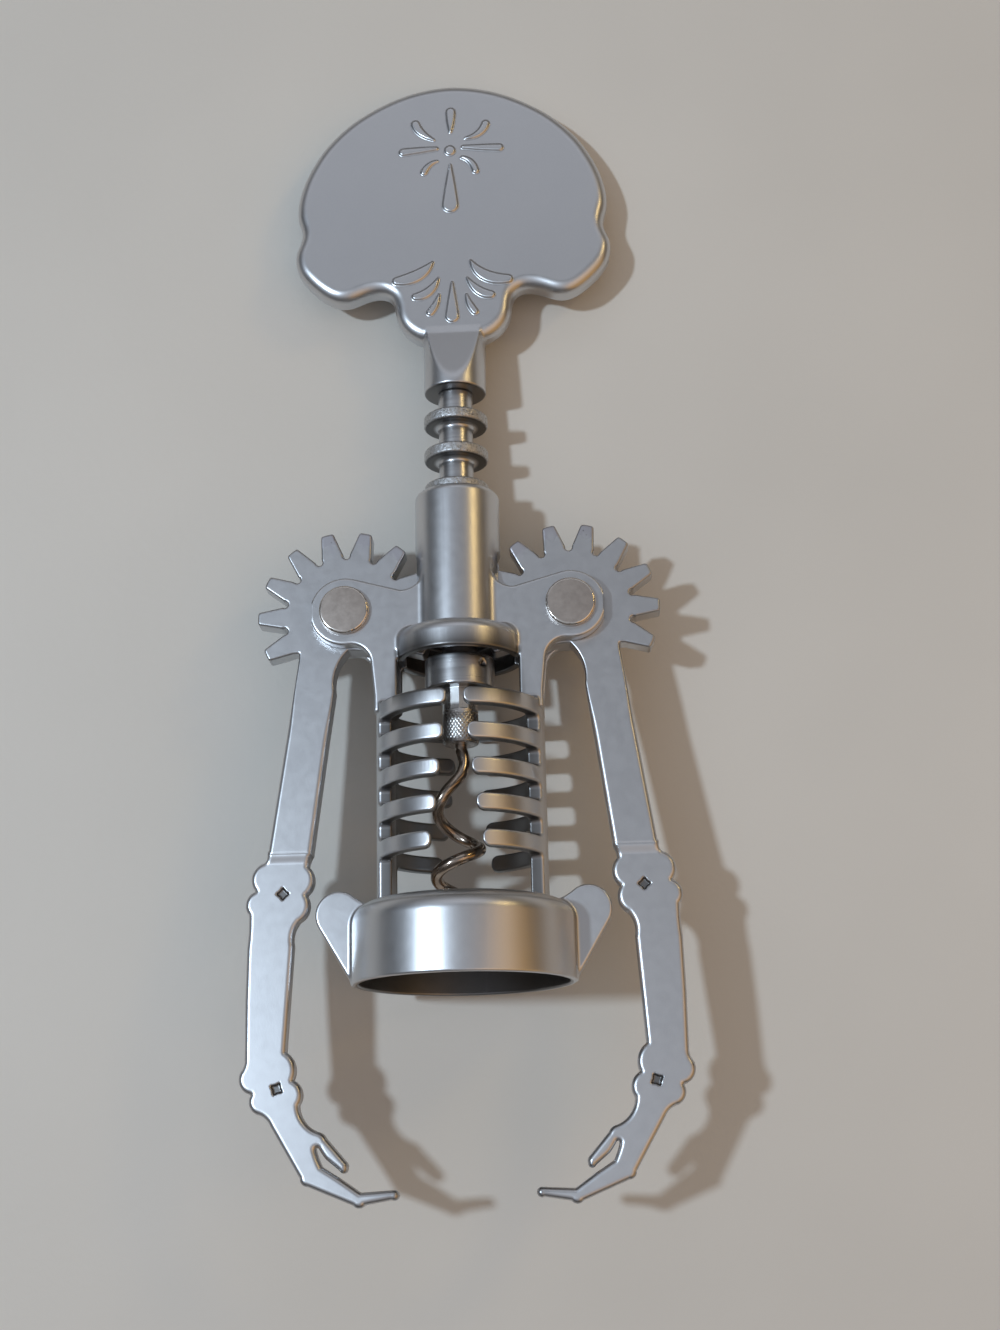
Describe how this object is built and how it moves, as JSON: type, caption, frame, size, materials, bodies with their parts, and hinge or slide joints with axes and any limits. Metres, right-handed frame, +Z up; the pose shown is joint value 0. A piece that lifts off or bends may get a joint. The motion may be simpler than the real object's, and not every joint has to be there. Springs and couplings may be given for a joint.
{
  "type": "wing corkscrew",
  "caption": "Winged corkscrew shaped as a skeleton: skull handle on a ringed rack, rib cage frame with bottle collar, worm, and geared arm levers with hands.",
  "frame": {"origin": "centre of the bounding box in plan, on the table under the collar; the corkscrew lies on its back", "axes": "+X towards the right lever, +Y along the spindle from the bottle collar to the skull handle, +Z up out of the table, towards the side with the raised ornament"},
  "size_m": [0.07, 0.1926, 0.035],
  "materials": {
    "satin_casting": "satin nickel plating over a zinc die casting, fine grain, softly rounded edges",
    "rivet_steel": "nickel plated steel with fine scratches",
    "rack_steel": "plated, rubbed on the ring edges",
    "worm_nickel": "polished dark nickel"
  },
  "bodies": {
    "frame": {"frame_casting": "satin_casting", "pivot_rivet_right": "rivet_steel", "pivot_rivet_left": "rivet_steel"},
    "rack": {"ring_rack": "rack_steel"},
    "handle": {"skull_handle": "satin_casting", "drive_shaft": "rack_steel", "worm_ferrule": "worm_nickel", "worm": "worm_nickel"},
    "right_arm": {"lever_right": "satin_casting"},
    "left_arm": {"lever_left": "satin_casting"}
  },
  "joints": [
    {"name": "rack_slide", "type": "slide", "parent": "frame", "child": "rack", "axis": [0, -1, 0], "range_m": [0, 0.027]},
    {"name": "handle_spin", "type": "hinge", "parent": "rack", "child": "handle", "pos_m": [0, 0.01795, 0.0175], "axis": [0, 1, 0], "continuous": true},
    {"name": "right_arm_swing", "type": "hinge", "parent": "frame", "child": "right_arm", "pos_m": [0.01844, -0.003, 0.0175], "axis": [0, 0, 1], "range_deg": [0, 110.6]},
    {"name": "left_arm_swing", "type": "hinge", "parent": "frame", "child": "left_arm", "pos_m": [-0.01844, -0.003, 0.0175], "axis": [0, 0, -1], "range_deg": [0, 110.6]}
  ],
  "couplings": [
    {"joint": "right_arm_swing", "follows": "rack_slide", "rad_per_m": 71.429},
    {"joint": "left_arm_swing", "follows": "rack_slide", "rad_per_m": 71.429}
  ]
}
